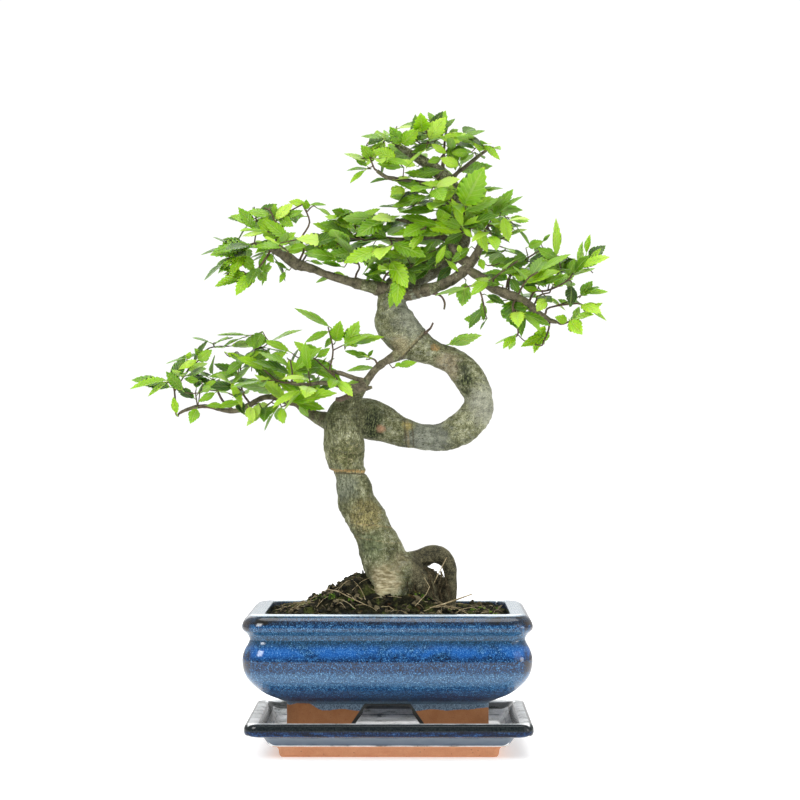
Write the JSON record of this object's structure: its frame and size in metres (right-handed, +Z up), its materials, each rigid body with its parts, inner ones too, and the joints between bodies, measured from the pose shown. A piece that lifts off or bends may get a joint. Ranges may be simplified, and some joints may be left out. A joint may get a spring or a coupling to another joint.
{
  "type": "chinese elm bonsai",
  "caption": "Elm bonsai with a looped trunk and leafy pads, in a rectangular glazed pot with arched feet on its drip tray.",
  "frame": {"origin": "middle of the flat base of the drip tray, on the surface it stands on", "axes": "+Z up; -Y is the front that the picture shows; +X is to the right as seen from the front"},
  "size_m": [0.2653, 0.118, 0.3524],
  "materials": {
    "tray_glaze": "glossy dark blue glaze",
    "pot_glaze": "glossy speckled blue glaze",
    "screen_plastic": "matt black",
    "soil": "rough dark soil with bark chips",
    "bark": "rough grey-green bark",
    "leaf": "satin green leaf"
  },
  "bodies": {
    "root": {"drip_tray": "tray_glaze", "pot": "pot_glaze", "drain_mesh_left": "screen_plastic", "drain_mesh_right": "screen_plastic", "soil": "soil", "wood": "bark", "spray_left_end": "leaf", "spray_left_low": "leaf", "spray_left_knee": "leaf", "spray_left_arch": "leaf", "spray_left_back_a": "leaf", "spray_left_back_b": "leaf", "spray_left_front": "leaf", "spray_mid_left": "leaf", "spray_mid_end": "leaf", "spray_mid_high_end": "leaf", "spray_mid_front_a": "leaf", "spray_mid_front_b": "leaf", "spray_mid_top_end": "leaf", "spray_mid_front_c": "leaf", "spray_mid_front_d": "leaf", "spray_mid_front_e": "leaf", "spray_mid_back_a": "leaf", "spray_mid_back_b": "leaf", "spray_mid_back_c": "leaf", "spray_mid_right": "leaf", "spray_right_fork": "leaf", "spray_right_inner": "leaf", "spray_right_middle": "leaf", "spray_right_upper": "leaf", "spray_right_rise": "leaf", "spray_right_low": "leaf", "spray_right_end": "leaf", "spray_right_droop": "leaf", "spray_right_hang": "leaf", "spray_hang_twig": "leaf", "spray_right_back_a": "leaf", "spray_right_back_b": "leaf", "spray_crown_tip": "leaf", "spray_crown_top": "leaf", "spray_crown_top_right": "leaf", "spray_crown_right": "leaf", "spray_crown_left": "leaf", "spray_crown_front": "leaf", "spray_crown_back_a": "leaf", "spray_crown_back_b": "leaf", "spray_low_tip": "leaf", "spray_low_rise": "leaf", "spray_low_b_end": "leaf", "spray_low_cluster": "leaf", "spray_low_big": "leaf", "spray_low_bright": "leaf", "spray_low_twig": "leaf", "spray_low_right": "leaf", "spray_low_pair": "leaf", "spray_loop_back": "leaf", "spray_low_back_a": "leaf", "spray_low_back_b": "leaf", "spray_low_back_c": "leaf"}
  },
  "joints": []
}
